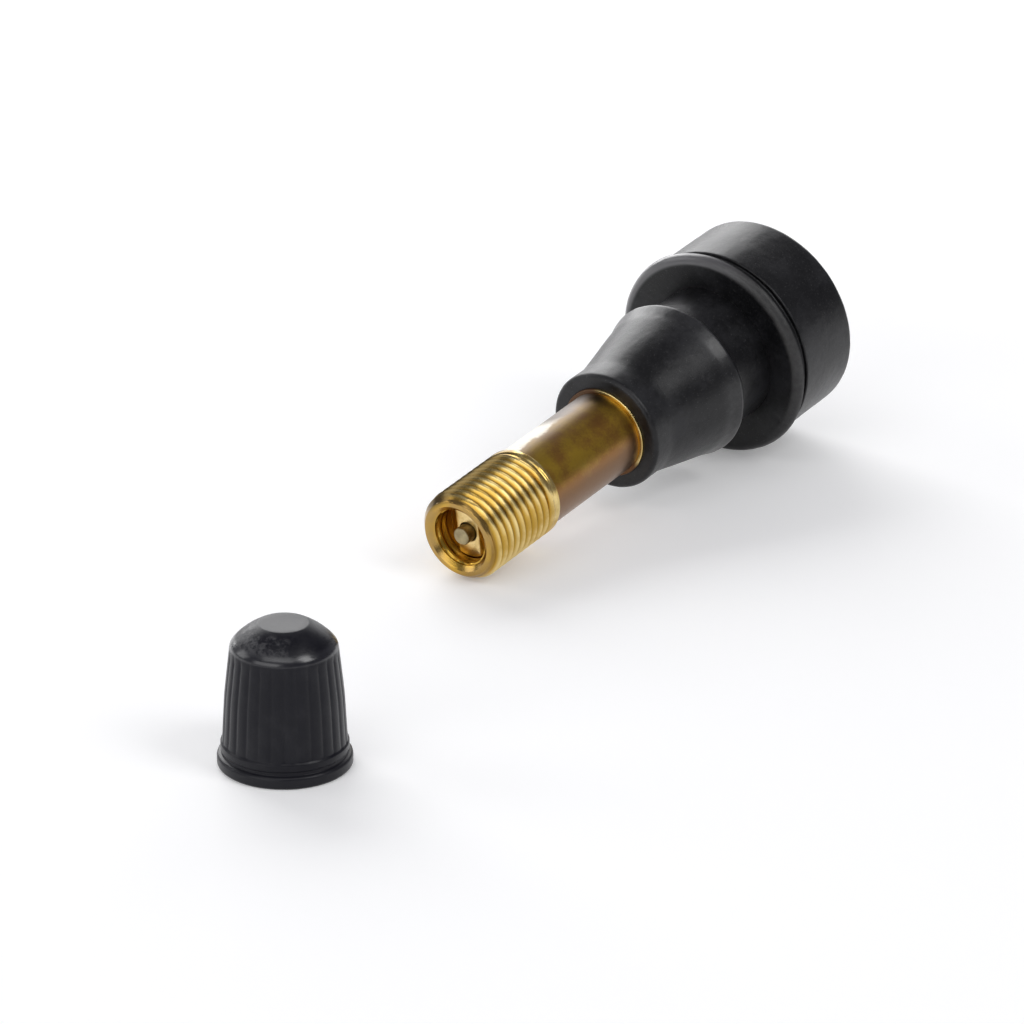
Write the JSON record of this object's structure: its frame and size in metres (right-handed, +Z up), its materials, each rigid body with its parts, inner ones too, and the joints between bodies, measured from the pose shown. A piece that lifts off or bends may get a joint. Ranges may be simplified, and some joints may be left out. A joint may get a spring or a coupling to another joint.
{
  "type": "tyre valve",
  "caption": "Rubber snap-in tyre valve with a threaded brass stem and a sprung core that a pump or gauge pushes open, with its ribbed plastic cap standing beside it.",
  "frame": {"origin": "on the valve's axis in the plane where the bead's front face meets the rim", "axes": "+Z up from the floor that the valve and cap rest on, +Y along the lying valve from its tip to its base as seen from above, +X to the side where the cap stands"},
  "size_m": [0.0247, 0.085, 0.0187],
  "materials": {
    "stem_brass": "turned brass, bright on the thread and tarnished brown on the shank",
    "body_rubber": "moulded black rubber with a soft sheen",
    "core_brass": "turned brass",
    "seal_rubber": "plain black rubber",
    "pin_metal": "drawn wire, greyed",
    "spring_steel": "bare spring wire",
    "cap_plastic": "moulded black plastic with fine ribs"
  },
  "bodies": {
    "valve": {"stem": "stem_brass", "rubber_body": "body_rubber", "core_plug": "core_brass", "core_barrel": "core_brass", "barrel_gasket": "seal_rubber", "core_spring": "spring_steel", "cap": "cap_plastic"},
    "plunger": {"core_pin": "pin_metal", "seal_cup": "core_brass", "cup_seal": "seal_rubber"}
  },
  "joints": [
    {"name": "pin_press", "type": "slide", "parent": "valve", "child": "plunger", "axis": [0, 0.9891, 0.1469], "range_m": [0, 0.001], "stiffness_N_per_m": 800, "springref_m": -0.0025, "deforming": ["core_spring"]}
  ]
}
